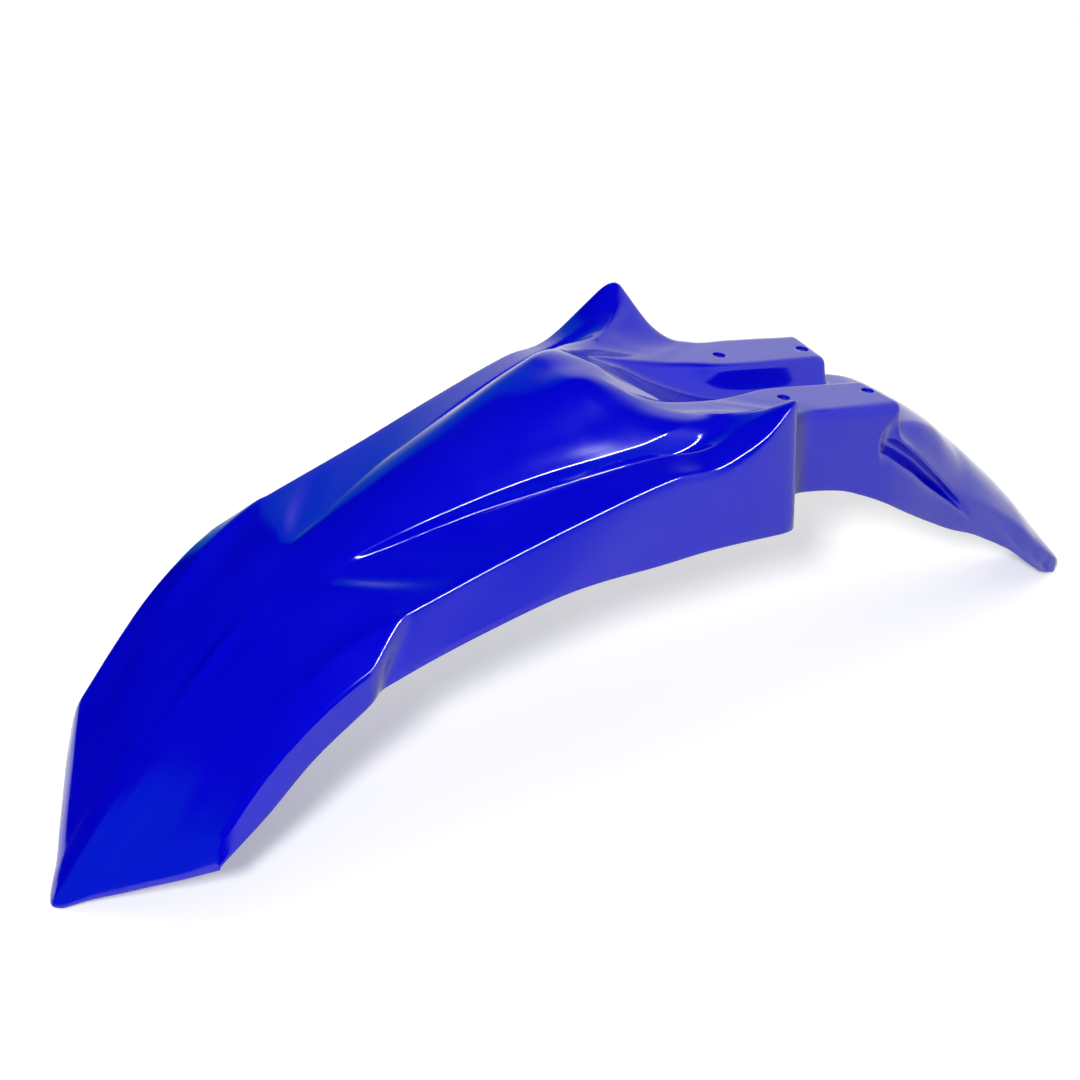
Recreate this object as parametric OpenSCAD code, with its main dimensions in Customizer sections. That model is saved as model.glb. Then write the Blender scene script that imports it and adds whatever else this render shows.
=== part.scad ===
// Front mudguard for an off-road motorcycle: one moulded plastic shell, bolted under the fork yoke.
// The origin is the middle of the four bolt holes, on the flat top of the two mount pads.
// +X points forward to the nose, +Y to the rider's left, +Z up. All sizes are millimetres.

/* [Bolt holes] */
// Distance between the front and the rear pair of holes
hole_pitch_x = 66; // [58:1:76]
// Distance between the left and the right holes
hole_pitch_y = 70; // [62:1:80]
// Diameter of each bolt hole
hole_d = 8; // [5:0.5:11]

/* [Moulding] */
// Thickness of the wall
wall = 2.5; // [2:0.1:3]

/* [Mount pads and channel] */
// From a hole's centre in to the pad's inner edge, beside the channel
pad_inner = 17; // [13:0.5:20]
// From a hole's centre out to the side of the neck
pad_outer = 25.5; // [20:0.5:30]
// From the rear holes' centres back to the end of the pads
pad_end = 10.5; // [8:0.5:16]
// Depth of the channel between the pads
channel_depth = 20.5; // [14:0.5:24]
// Height of the neck's side, from the pads down to its free edge
neck_h = 53; // [44:1:62]

/* [Crown and wings] */
// From the bolt pattern's centre forward to the middle of the crest
crest_reach = 168; // [150:1:190]
// Height of the wing tips above the pads
wing_h = 32; // [24:1:38]
// Half the width across the free edges of the skirts at the wings
skirt_half = 109; // [100:1:118]
// Depth of the groove on each side of the crown
groove_depth = 4.5; // [2:0.25:6]

/* [Nose] */
// From the bolt pattern's centre forward to the nose
nose_reach = 475; // [430:5:520]
// From the pads down to the top of the nose
nose_drop = 299; // [270:1:330]
// Height of the down-turned lip at the nose
nose_lip_h = 8; // [5:0.5:12]
// Height of the down-turned lip at the front corners
corner_lip_h = 17.5; // [12:0.5:22]

/* [Tail] */
// From the bolt pattern's centre back to the tip of the tail
tail_reach = 257; // [230:1:290]
// From the pads down to the top of the tail's tip
tail_drop = 150.5; // [135:0.5:165]
// Height of the rim round the tail's tip
tail_rim_h = 3.4; // [3.2:0.2:6]
// Depth of the long dimple below each shoulder of the tail
dimple_depth = 4.5; // [0:0.5:7]

/* [Edge rounding] */
// Length that the skirt and pad edges are rounded over, to each side of the edge
edge_round = 4; // [3:0.25:5]
// The same for the crisp ridges on both sides of a groove
ridge_round = 2; // [1.5:0.25:3]
// The same for the foot of the channel's walls
channel_round = 8; // [5:0.5:10]
// The same for the crest and the wings' rear edges
crest_round = 5; // [4:0.25:6]

/* [Hidden] */

// Stations count roughly millimetres along the shell, from the front edge at 0 to the tail's end.
front_edge = 0;
notch = 90;
notch_back = 100;
crest = 300;
pads_stop = 465;
pads_foot = 490;
tail_end = 690;
// Each end lip takes up this many stations beyond its edge
lip_stations = 10;

// Where the landmarks lie in the drawing that the guide lines below were taken from
drawn_x = [-257, -43.5, -33, 0, 33, 168, 475];
drawn_y = [0, 18, 60.5, 109];
drawn_drop_x = [-257, -43.5, 47, 168];
drawn_nose_drop = 299;
drawn_tail_drop = 150.5;
drawn_wing_h = 32;
drawn_channel = 20.5;
drawn_neck_h = 53;

// Where the same landmarks lie on the part
hole_x = hole_pitch_x / 2;
hole_y = hole_pitch_y / 2;
real_x = [-tail_reach, -hole_x - pad_end, -hole_x, 0, hole_x, crest_reach, nose_reach];
real_y = [0, hole_y - pad_inner, hole_y + pad_outer, skirt_half];
drop_factor = [tail_drop / drawn_tail_drop, 1, 1, nose_drop / drawn_nose_drop];

// Guide lines, each point as [station, x, y, z]. Ahead of the crest:
centre_line = [
    [0, 475, 0, -299], [25, 450, 0, -249], [50, 425, 0, -203.5], [80, 394, 0, -155],
    [110, 363, 0, -119.5], [144, 328, 0, -87.5], [184, 287, 0, -54.5], [230, 240, 0, -20],
    [275, 196, 0, 9], [300, 168, 0, 20.5]
];
crown_inner = [
    [0, 472.8, 6.5, -295.5], [50, 424, 7, -202], [90, 380.5, 7, -139.8], [144, 325.5, 9, -85.5],
    [184, 284, 14, -53.5], [230, 238, 18, -21], [265, 205, 20, 1.5], [300, 173, 17, 22]
];
crown_outer = [
    [0, 469, 13, -289.5], [50, 421.5, 13.5, -198], [90, 377, 13.5, -136], [144, 321.5, 17, -83],
    [184, 277, 27, -53], [230, 228, 36, -24.6], [265, 190, 45, -8], [300, 151, 48.5, 7]
];
groove_inner = [
    [0, 464.2, 20, -282.5], [50, 418, 19.5, -193], [90, 372, 19, -129.6], [135, 328, 21.6, -89.5],
    [168, 288, 33.8, -64.4], [226, 217, 51, -30.7], [264, 171, 62.3, -14.8], [276, 156, 65.2, -9.5],
    [300, 127, 66, 5]
];
groove_outer = [
    [0, 446.1, 54, -254.1], [50, 406, 46, -177.7], [90, 361, 34, -119], [135, 326.5, 25.5, -90.8],
    [161, 292, 33.8, -74], [195, 243, 51, -51.5], [219, 209, 62, -36.5], [259, 152, 76, -14],
    [284, 116, 85, -2.5], [300, 87, 85.5, 17.5]
];
shoulder_line = [
    [0, 436.5, 72, -239.5], [22, 409, 72.5, -189.5], [45, 382, 74.3, -146.5], [65, 357.3, 78.2, -118.3],
    [90, 323.2, 84.3, -95], [100, 317, 85, -92.2], [150, 258, 87.5, -64.5], [200, 204, 92.3, -39.5],
    [250, 150, 97.5, -16.8], [280, 113, 102, -5.5], [291, 93, 104.2, 11.5], [300, 76, 101, 32]
];
lip_top = [
    [0, 426.5, 90.6, -223.6], [22, 406, 92.2, -187.6], [45, 385.4, 95.2, -158.3], [65, 365, 97.4, -136.5],
    [90, 344.8, 99.3, -119.9]
];
lip_foot = [
    [0, 422.5, 95, -235.5], [30, 399, 96, -208], [60, 374, 97.5, -174], [90, 342.5, 100.3, -141]
];
skirt_foot = [
    [100, 333, 92, -138], [125, 303, 92.8, -123], [155, 265, 94.8, -105.5], [190, 220, 97.7, -87],
    [245, 154, 102.3, -71.5], [280, 111, 106.3, -61.5], [300, 65, 109, -55]
];

// Guide lines behind the crest:
floor_line = [
    [300, 168, 0, 20.5], [312, 157, 0, 17.5], [330, 138, 0, 8.5], [350, 114, 0, -2], [370, 90, 0, -11],
    [390, 66, 0, -18], [420, 30, 0, -21], [465, -37, 0, -20.6], [490, -45, 0, -20.4],
    [510, -80, 0, -23], [530, -100, 0, -30.5], [560, -132, 0, -50.5], [590, -163, 0, -71.5],
    [625, -197, 0, -97], [660, -231, 0, -126.5], [690, -257, 0, -150.5]
];
channel_foot = [
    [300, 173, 17, 22], [315, 155, 28, 12.5], [333, 132, 33.5, 4], [350, 114.5, 31.5, -0.5],
    [362, 100, 25.5, -7], [378, 80, 20, -13.5], [392, 64, 16.5, -17.5], [420, 32, 14.5, -20.5],
    [465, -35, 14, -20.5]
];
pad_inner_edge = [
    [300, 151, 48.5, 7], [315, 137, 43.5, 5.5], [333, 117, 36.7, 3.2], [350, 101, 33, 1.5],
    [370, 80, 28.8, 0], [390, 60, 24.5, 0], [405, 47, 20.5, 0], [425, 30, 18.5, 0], [465, -43, 19.5, 0]
];
pad_outer_edge = [
    [300, 76, 101, 32], [315, 66, 84, 17], [330, 57, 72, 7], [345, 47, 64.5, 1.5],
    [360, 35, 61, 0], [400, 8, 60.5, 0], [465, -43.5, 60, 0]
];
tail_shoulder = [
    [490, -48, 60, -24.5], [502, -65, 58, -37], [525, -91, 52.5, -56.5], [545, -109, 48.5, -69.5],
    [570, -136, 43, -81], [590, -154, 39, -88.5], [615, -179, 33.5, -102], [635, -199, 30, -114],
    [652, -214, 26.5, -125], [672, -226, 24, -134], [690, -236, 21, -141]
];
neck_foot = [
    [300, 65, 109, -55], [315, 59, 94, -54.5], [330, 52, 80, -54], [345, 43, 70, -53],
    [360, 33, 64.5, -53], [385, 19, 62.8, -53], [415, -6, 62.5, -55], [440, -23, 62.5, -59.5],
    [465, -38, 62.2, -64.5], [490, -49, 61.2, -69], [503, -66, 58, -77], [522, -97, 51, -90.5],
    [534, -118, 46.5, -99], [546, -139, 42.5, -105.5], [565, -163, 37, -115.5], [590, -188, 32, -127],
    [615, -210, 27.5, -140], [640, -223, 24.5, -147.5], [690, -234.5, 21, -152.8]
];

// The lowest points of the front corners and of the tail's rear corners
corner_foot = [426, 95, -240];
tail_foot = [-238, 19.8, -153.8];

// How far the lip under the front edge leans forward at the nose and at the corners, and outward at
// the corners, and how fast it grows deeper away from the nose
lip_lean = [3, 1.5, 3];
lip_growth = 0.6;
// How far the rim at the tail's tip leans forward, and how fast it grows deeper away from the middle
rim_lean = 0.5;
rim_growth = 2.2;
// Where the bottom of a groove lies, as a share of the way from its inner to its outer ridge
valley_share = 0.55;
// Where the two middle guide lines of a side wall lie, as a share of its height: forward and at the tail
wall_share = [0.35, 0.68];
tail_wall_share = [0.5, 0.75];
// Where the lines across a pad lie, as a share of its width
pad_share = [0.32, 0.46, 0.6];
// Width of the long dimple in each side of the tail
dimple_width = 24;
// Where the lines across the tail lie, as a share of its half width, and how far its round end turns
tail_share = [0, 0.18, 0.34, 0.48, 0.58, 0.66, 1];
end_turn = 78;

// Stations of the rows, closer together where the shell bends
rows = [
    -4, 0, 4, 18, 38, 60, 76, 86, 90, 94, 97, 100, 104, 116, 135, 152, 170, 192, 215, 238, 260, 278, 290,
    295, 298, 302, 305, 312, 322, 334, 348, 364, 384, 408, 434, 453, 461, 465, 469, 477, 485, 490, 495,
    505, 518, 534, 552, 576, 602, 630, 655, 672, 680, 686, 690, 694
];
// Points between neighbouring guide lines, and points round each guide line
between = [0, 1, 1, 0, 0, 1, 0, 0, 0];
round_points = [0, 2, 3, 3, 1, 3, 3, 3, 1, 0];

function lerp(a, b, t) = a + (b - a) * t;
function clamp(v) = min(1, max(0, v));
function ease(a, b, v) = let (t = clamp((v - a) / (b - a))) t * t * (3 - 2 * t);
function unit(v) = v / max(norm(v), 0.000001);

// Straight-line lookup of v in two lists, carried on past both ends
function span(list, v, i = 0) = i >= len(list) - 2 || v <= list[i + 1] ? i : span(list, v, i + 1);
function remap(v, from, to) =
    let (i = span(from, v))
    lerp(to[i], to[i + 1], (v - from[i]) / (from[i + 1] - from[i]));
function hold(v, from, to) = remap(min(max(v, from[0]), from[len(from) - 1]), from, to);

// Carries a drawn point to the part, by the named sizes
function place(p) =
    [
        remap(p[0], drawn_x, real_x),
        remap(p[1], drawn_y, real_y),
        p[2] > 0 ? p[2] * wing_h / drawn_wing_h : p[2] * hold(p[0], drawn_drop_x, drop_factor)
    ];
function placed(guide) = [for (g = guide) let (p = place([g[1], g[2], g[3]])) [g[0], p[0], p[1], p[2]]];
// The channel's depth counts fully between the pads and fades out on the ramp and the tail
function deepened(guide) =
    [
        for (g = guide)
        let (share = ease(170, 60, g[1]) * ease(-190, -50, g[1]))
        [g[0], g[1], g[2], g[3] - (channel_depth - drawn_channel) * share]
    ];
// The neck's height counts fully beside the pads and fades out along the skirts and the tail
function lowered(guide) =
    [
        for (g = guide)
        let (share = ease(220, 70, g[1]) * ease(-220, -60, g[1]))
        [g[0], g[1], g[2], g[3] - (neck_h - drawn_neck_h) * share]
    ];

centre_g = placed(centre_line);
crown_inner_g = placed(crown_inner);
crown_outer_g = placed(crown_outer);
groove_inner_g = placed(groove_inner);
groove_outer_g = placed(groove_outer);
shoulder_g = placed(shoulder_line);
lip_top_g = placed(lip_top);
lip_foot_g = placed(lip_foot);
skirt_foot_g = lowered(placed(skirt_foot));
floor_g = deepened(placed(floor_line));
channel_foot_g = deepened(placed(channel_foot));
pad_inner_g = placed(pad_inner_edge);
pad_outer_g = placed(pad_outer_edge);
tail_shoulder_g = placed(tail_shoulder);
neck_foot_g = lowered(placed(neck_foot));
corner_foot_p = place(corner_foot);
tail_foot_p = place(tail_foot);

// Smooth curve through a guide line's points
function station(g, s, i = 0) = i >= len(g) - 2 || s <= g[i + 1][0] ? i : station(g, s, i + 1);
function point(g, i) = [g[i][1], g[i][2], g[i][3]];
function rise(g, i) = (point(g, i + 1) - point(g, i)) / (g[i + 1][0] - g[i][0]);
function slope(g, i) =
    i == 0 ? rise(g, 0)
    : i == len(g) - 1 ? rise(g, i - 1)
    : let (before = g[i][0] - g[i - 1][0], after = g[i + 1][0] - g[i][0])
      (rise(g, i - 1) * after + rise(g, i) * before) / (before + after);
function hermite(a, b, ta, tb, t) =
    (2 * t^3 - 3 * t^2 + 1) * a + (t^3 - 2 * t^2 + t) * ta
    + (3 * t^2 - 2 * t^3) * b + (t^3 - t^2) * tb;
function at(g, s) =
    let (i = station(g, s), h = g[i + 1][0] - g[i][0])
    hermite(point(g, i), point(g, i + 1), slope(g, i) * h, slope(g, i + 1) * h, (s - g[i][0]) / h);

// The ten guide points of one row, from the centre line to the free edge.
// Front of the crest: crown, groove, side panel, and a lip or a skirt
function front_row(s) =
    let (
        inner = at(groove_inner_g, s),
        outer = at(groove_outer_g, s),
        valley = lerp(inner, outer, valley_share) - [0, groove_depth / 3, groove_depth] * ease(135, 230, s),
        shoulder = at(shoulder_g, s),
        behind = clamp((s - notch) / (notch_back - notch)),
        lip = at(lip_top_g, min(s, notch)),
        lip_end = at(lip_foot_g, min(s, notch)),
        skirt_top = at(shoulder_g, max(s, notch_back)),
        skirt_end = at(skirt_foot_g, max(s, notch_back))
    )
    [
        at(centre_g, s), at(crown_inner_g, s), at(crown_outer_g, s), inner, valley, outer, shoulder,
        lerp(lip, lerp(skirt_top, skirt_end, wall_share[0]), behind),
        lerp(lerp(lip, lip_end, 0.5), lerp(skirt_top, skirt_end, wall_share[1]), behind),
        lerp(lip_end, skirt_end, behind)
    ];

// From the crest to the end of the pads: ramp and channel, pad, wing's back wall and neck
function hollow(s) = hold(s, [300, 315, 330, 345, 360], [0, 5, 3, 1, 0]) * wing_h / drawn_wing_h;
function pad_row(s) =
    let (
        inner = at(pad_inner_g, s),
        outer = at(pad_outer_g, s),
        foot = at(neck_foot_g, s),
        rim = front_row(crest),
        left = ease(crest, crest + 15, s)
    )
    [
        at(floor_g, s), at(channel_foot_g, s), inner,
        for (k = [0:2])
            let (
                line = lerp(inner, outer, pad_share[k]),
                kept = rim[3 + k] - lerp(rim[2], rim[6], pad_share[k])
            )
            line + kept * (1 - left) - [0, 0, hollow(s)],
        outer, each side_wall(outer, foot, s)
    ];
// The wall below the pads and the tail's shoulder, with the long dimple pressed into its upper part
function side_wall(top, foot, s) =
    let (
        pressed = ease(445, 500, s) * ease(555, 520, s),
        near = min(wall_share[1], dimple_width / norm(foot - top)),
        share = lerp(wall_share, tail_wall_share, ease(580, 640, s)),
        lead = hold(s, [400, 465, 490, 505, 560, 620], [0, 12, 7, 0, 0, 5])
    )
    [
        lerp(top, foot, lerp(share[0], near / 2, pressed)) + [lead, -dimple_depth * pressed, 0],
        lerp(top, foot, lerp(share[1], near, pressed)) + [lead / 2, 0, 0],
        foot
    ];

// The tail: a top that starts flat and grows round, with a half-round end
function tail_row(s) =
    let (
        middle = at(floor_g, s),
        shoulder = at(tail_shoulder_g, s),
        foot = at(neck_foot_g, s),
        end = ease(640, tail_end, s),
        flat = hold(s, [490, 520, 560, 620], [14, 8, 3, 2.2])
    )
    [
        for (q = tail_share)
            let (turned = (1 - cos(q * end_turn)) / (1 - cos(end_turn)))
            [
                lerp(middle[0], shoulder[0], lerp(q, turned, end)),
                shoulder[1] * lerp(q, sin(q * end_turn) / sin(end_turn), end),
                lerp(middle[2], shoulder[2], lerp(q^flat, q^2, end))
            ],
        each side_wall(shoulder, foot, s)
    ];

// The rims under the front edge and round the tail's tip
function nose_rim() =
    let (top = front_row(front_edge), corner = top[7][1])
    [
        for (i = [0:6])
            let (k = top[i][1] / corner)
            top[i] + [
                lerp(lip_lean[0], lip_lean[1], k),
                lip_lean[2] * k,
                -lerp(nose_lip_h, corner_lip_h, k^lip_growth)
            ],
        for (i = [7:9]) corner_foot_p
    ];
function tail_rim() =
    let (top = tail_row(tail_end), side = top[6][2] - tail_foot_p[2])
    [
        for (i = [0:5])
            top[i] + [rim_lean, 0, -lerp(tail_rim_h, side, (top[i][1] / top[6][1])^rim_growth)],
        for (i = [6:9]) tail_foot_p
    ];

function guide_row(s) =
    s < front_edge ? lerp(front_row(front_edge), nose_rim(), min(1, (front_edge - s) / lip_stations))
    : s <= crest ? front_row(s)
    : s <= pads_stop ? pad_row(s)
    : s <= pads_foot
        ? lerp(pad_row(pads_stop), tail_row(pads_foot), (s - pads_stop) / (pads_foot - pads_stop))
    : s <= tail_end ? tail_row(s)
    : lerp(tail_row(tail_end), tail_rim(), min(1, (s - tail_end) / lip_stations));

// How far each guide line's edge is rounded, and how sharp it is before that (0 smooth, 1 an edge)
function reach(s) =
    let (groove = ease(130, 150, s), behind = ease(305, 330, s) * ease(495, 465, s))
    [
        0, lerp(edge_round, channel_round, behind), edge_round, lerp(edge_round, ridge_round, groove),
        edge_round, lerp(edge_round, ridge_round, groove), lerp(edge_round, channel_round, behind),
        edge_round, edge_round, 0
    ];
function keen(s) =
    let (
        groove = ease(120, 140, s) * ease(320, 300, s),
        behind = ease(315, 345, s) * ease(490, 480, s),
        shoulder = lerp(lerp(0.3, 1, ease(0, 60, s)), 1, ease(96, 110, s))
    )
    [0, behind, behind, groove, 0.6 * groove, groove, shoulder, ease(notch_back, notch, s), 0, 1];

// One row of points across the shell, with its edges rounded. more widens the rounding
function bow(a, b, c, t) = (1 - t)^2 * a + 2 * t * (1 - t) * b + t^2 * c;
function between_lines(p, away, onto, gap, j, t) =
    hermite(p[j], p[j + 1], away[j] * gap[j], onto[j] * gap[j], t);
function across_row(s, more) =
    let (
        p = guide_row(s),
        r = reach(s),
        k = keen(s),
        n = len(p),
        gap = [for (j = [0:n - 2]) max(norm(p[j + 1] - p[j]), 0.000001)],
        dir = [for (j = [0:n - 2]) (p[j + 1] - p[j]) / gap[j]],
        flow = [
            for (j = [0:n - 1])
                j == 0 ? [0, 1, 0]
                : j == n - 1 ? dir[n - 2]
                : (dir[j - 1] * gap[j] + dir[j] * gap[j - 1]) / (gap[j - 1] + gap[j])
        ],
        away = [for (j = [0:n - 2]) lerp(flow[j], dir[j], k[j])],
        onto = [for (j = [1:n - 1]) lerp(flow[j], dir[j - 1], k[j])],
        lead = [for (j = [0:n - 2]) j == 0 ? 0 : min(0.45, (r[j] + more * k[j]) / gap[j])],
        tail = [for (j = [0:n - 2]) j == n - 2 ? 0 : min(0.45, (r[j + 1] + more * k[j + 1]) / gap[j])]
    )
    [
        p[0],
        for (j = [0:n - 3])
            let (
                from = lead[j],
                to = 1 - tail[j],
                stop = between_lines(p, away, onto, gap, j, to),
                start = between_lines(p, away, onto, gap, j + 1, lead[j + 1]),
                count = round_points[j + 1]
            )
            each [
                for (i = [1:1:between[j]])
                    between_lines(p, away, onto, gap, j, lerp(from, to, i / (between[j] + 1))),
                for (i = [0:count - 1]) bow(stop, p[j + 1], start, count == 1 ? 0.5 : i / (count - 1))
            ],
        p[n - 1]
    ];

// Folds along the shell that are rounded too: [station, rounding, share of more that widens it]
folds = [
    [front_edge, edge_round, 1], [notch, 4, 0], [notch_back, 4, 0], [crest, crest_round, 1],
    [pads_stop, 4, 1], [pads_foot, 5, 0], [tail_end, 4, 0.4]
];
function fold_at(s, more, i = 0) =
    i == len(folds) ? undef
    : abs(s - folds[i][0]) < folds[i][1] + folds[i][2] * more - 0.001 ? folds[i]
    : fold_at(s, more, i + 1);
function shell_row(s, more) =
    let (f = fold_at(s, more))
    is_undef(f) ? across_row(s, more)
    : let (
        w = f[1] + f[2] * more,
        before = across_row(f[0] - w, more),
        on = across_row(f[0], more),
        after = across_row(f[0] + w, more),
        t = (s - f[0] + w) / (2 * w)
    )
    [for (i = [0:len(on) - 1]) bow(before[i], on[i], after[i], t)];

// The half shell is a sheet of points in rows, with a band below its border down to the free edge.
// The border runs along the front row to the corner, down the side, and back round the tail's tip.
function sum(list, n, i = 0) = i >= n ? 0 : list[i] + sum(list, n, i + 1);
function last_round(line) = sum(between, line) + sum(round_points, line + 1);
row_count = len(rows);
end_row = row_count - 1;
top_count = len(across_row(200, 0)) - 1;
last = top_count - 1;
front_corner = last_round(7);
tail_corner = last_round(6);
border = [
    for (j = [0:front_corner]) [0, j],
    for (i = [0:end_row]) [i, last],
    for (j = [tail_corner:-1:0]) [end_row, j]
];
border_count = len(border);
function sheet(more) = [for (s = rows) shell_row(s, more)];
function feet(sheet, more) =
    let (nose = across_row(front_edge - lip_stations, more), tip = across_row(tail_end + lip_stations, more))
    [
        for (j = [0:front_corner]) nose[j],
        for (i = [0:end_row]) sheet[i][top_count],
        for (j = [tail_corner:-1:0]) tip[j]
    ];

// Outward normals, from the neighbours outward to the free edge and onward to the tail
function mirrored(p) = [p[0], -p[1], p[2]];
function beside(row, j) = j < 0 ? mirrored(row[1]) : row[j];
function through(before, p, after) = unit(p - before) + unit(after - p);
function outward(sheet, feet, i, j) =
    let (
        above = i == 0 && j <= front_corner ? sheet[1][min(j, front_corner - 1)]
            : i == end_row && j <= tail_corner ? sheet[i - 1][min(j, tail_corner - 1)]
            : beside(sheet[i], j - 1),
        below = i == 0 && j <= front_corner ? feet[j]
            : i == end_row && j <= tail_corner ? feet[border_count - 1 - j]
            : j == last ? feet[front_corner + 1 + i]
            : sheet[i][j + 1]
    )
    through(above, sheet[i][j], below);
function onward(sheet, feet, i, j) =
    let (
        before = i > 0 ? (i < end_row || j >= tail_corner ? sheet[i - 1][j] : sheet[i][j + 1])
            : j <= front_corner ? beside(sheet[0], j - 1)
            : feet[front_corner],
        after = i < end_row ? (i > 0 || j >= front_corner ? sheet[i + 1][j] : sheet[0][j + 1])
            : j <= tail_corner ? beside(sheet[i], j - 1)
            : feet[border_count - 1 - tail_corner]
    )
    through(before, sheet[i][j], after);
function foot_onward(feet, b) =
    through(
        b == 0 ? mirrored(feet[1]) : feet[b - 1],
        feet[b],
        b == border_count - 1 ? mirrored(feet[b - 1]) : feet[b + 1]
    );
function normal(out, on, centred) =
    let (n = cross(out, on))
    unit(centred ? [n[0], 0, n[2]] : n);

// Points of a skin: top points row by row, then the free edge
function skin(sheet, feet, depth) =
    [
        for (i = [0:end_row])
            for (j = [0:last])
                sheet[i][j] - depth * normal(outward(sheet, feet, i, j), onward(sheet, feet, i, j), j == 0),
        for (b = [0:border_count - 1])
            feet[b] - depth * normal(
                feet[b] - sheet[border[b][0]][border[b][1]], foot_onward(feet, b), border[b][1] == 0
            )
    ];

outer_sheet = sheet(0);
inner_sheet = sheet(wall);
outer_skin = skin(outer_sheet, feet(outer_sheet, 0), 0);
inner_skin = skin(inner_sheet, feet(inner_sheet, wall), wall);
skin_count = len(outer_skin);
top_total = row_count * top_count;

// The part takes its points in four runs: outer and inner skin on the left, then on the right.
// The centre line's points are shared by both sides.
function left_index(skin, k) = skin * skin_count + k;
function on_centre(k) = k < top_total ? k % top_count == 0 : (k == top_total || k == skin_count - 1);
function right_index(skin, k) = on_centre(k) ? left_index(skin, k) : (2 + skin) * skin_count + k;
function index(side, skin, k) = side == 0 ? left_index(skin, k) : right_index(skin, k);
function border_index(b) = border[b][0] * top_count + border[b][1];

// Patches between neighbouring rows and columns, then the band down to the free edge.
// At the two corners the band turns about the lowest point there.
sheet_patches = [
    for (i = [0:row_count - 2])
        for (j = [0:last - 1])
            let (k = i * top_count + j)
            [k, k + top_count, k + top_count + 1, k + 1],
    for (b = [0:border_count - 2])
        let (foot = top_total + b)
        b == front_corner ? [foot, for (j = [b:last]) j, foot + 1]
        : b == front_corner + row_count
            ? [foot + 1, foot, for (j = [last:-1:tail_corner]) end_row * top_count + j]
        : [border_index(b), border_index(b + 1), foot + 1, foot]
];
function flip(face, turn) = turn ? [for (i = [len(face) - 1:-1:0]) face[i]] : face;
// Each patch as triangles from its first point
function fan(q) = [for (i = [1:len(q) - 2]) [q[0], q[i], q[i + 1]]];
skin_faces = [
    for (side = [0, 1])
        for (skin = [0, 1])
            for (q = sheet_patches)
                for (f = fan(q))
                    flip([for (k = f) index(side, skin, k)], side != skin)
];
rim_faces = [
    for (side = [0, 1])
        for (b = [0:border_count - 2])
            let (
                k = top_total + b,
                q = [index(side, 0, k), index(side, 0, k + 1), index(side, 1, k + 1), index(side, 1, k)]
            )
            for (f = fan(q))
                flip(f, side == 1)
];

module shell() {
    polyhedron(
        points = [
            each outer_skin,
            each inner_skin,
            each [for (p = outer_skin) mirrored(p)],
            each [for (p = inner_skin) mirrored(p)]
        ],
        faces = [each skin_faces, each rim_faces],
        convexity = 8
    );
}

module bolt_holes() {
    for (x = [-hole_x, hole_x])
        for (y = [-hole_y, hole_y])
            translate([x, y, -4 * wall])
                cylinder(h = 8 * wall, d = hole_d, $fn = 32);
}

module mudguard() {
    color("mediumblue")
        difference() {
            shell();
            bolt_holes();
        }
}

mudguard();
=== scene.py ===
"""Looks of a motorcycle front mudguard: one glossy blue moulded shell on a pale studio floor."""
import functools
import math

import bmesh
import bpy
import numpy as np
from mathutils import Matrix, Vector


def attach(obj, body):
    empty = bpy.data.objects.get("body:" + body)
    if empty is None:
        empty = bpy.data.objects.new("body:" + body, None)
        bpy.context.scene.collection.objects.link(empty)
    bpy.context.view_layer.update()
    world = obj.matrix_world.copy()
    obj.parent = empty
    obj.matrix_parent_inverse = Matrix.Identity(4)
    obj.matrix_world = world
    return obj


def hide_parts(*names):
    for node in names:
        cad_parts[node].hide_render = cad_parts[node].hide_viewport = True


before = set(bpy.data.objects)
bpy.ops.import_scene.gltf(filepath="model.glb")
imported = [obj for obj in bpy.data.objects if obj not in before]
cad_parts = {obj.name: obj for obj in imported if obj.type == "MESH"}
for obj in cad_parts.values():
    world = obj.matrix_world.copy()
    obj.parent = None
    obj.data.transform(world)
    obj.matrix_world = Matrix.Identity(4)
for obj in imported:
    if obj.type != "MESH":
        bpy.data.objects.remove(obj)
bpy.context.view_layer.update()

MM = 0.001

# Sizes of the shell in millimetres, in the part's own frame
HOLE_PITCH_X = 66
HOLE_PITCH_Y = 70
HOLE_D = 8
HOLE_LIP = 0.5
HOLE_MOUTH = 3
HOLE_STEPS = 48
HOLE_LIP_TURNS = (0.4, 0.8, 1.2, math.pi / 2)
WALL = 2.5
GROOVE_DEPTH = 7.5
GROOVE_LEAN = 2.5
NOSE_LIP_H = 8
CORNER_LIP_H = 17.5
TAIL_RIM_H = 3.4
DIMPLE_DEPTH = 9.5
DIMPLE_WIDTH = 17
EDGE_ROUND = 4
RIDGE_ROUND = 2.5
CHANNEL_ROUND = 8
CREST_ROUND = 5
CREST_ROUND_MIDDLE = 15
PADS_FOOT_ROUND = 5

# Stations count roughly millimetres along the shell, from the front edge at 0 to the tail's end
FRONT_EDGE = 0
NOTCH = 90
NOTCH_BACK = 100
CREST = 300
PADS_STOP = 465
PADS_FOOT = 490
TAIL_END = 690
LIP_STATIONS = 10

# Pairs of stations between which a form grows or, from the higher to the lower, dies away
GROOVE_DEEPENS = (135, 230)
GROOVE_SHARPENS = (120, 140)
GROOVE_NARROWS = (130, 150)
GROOVE_SOFTENS = (320, 300)
NOSE_SHARPENS = (0, 60)
RIM_BLENDS = (300, 315)
CHANNEL_WIDENS = (305, 330)
CHANNEL_SHARPENS = (315, 345)
CHANNEL_NARROWS = (495, 465)
CHANNEL_SOFTENS = (490, 480)
DIMPLE_STARTS = (472, 494)
DIMPLE_STOPS = (556, 536)
TAIL_WALL_STEEPENS = (580, 640)
TAIL_ROUNDS = (640, 690)

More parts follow.
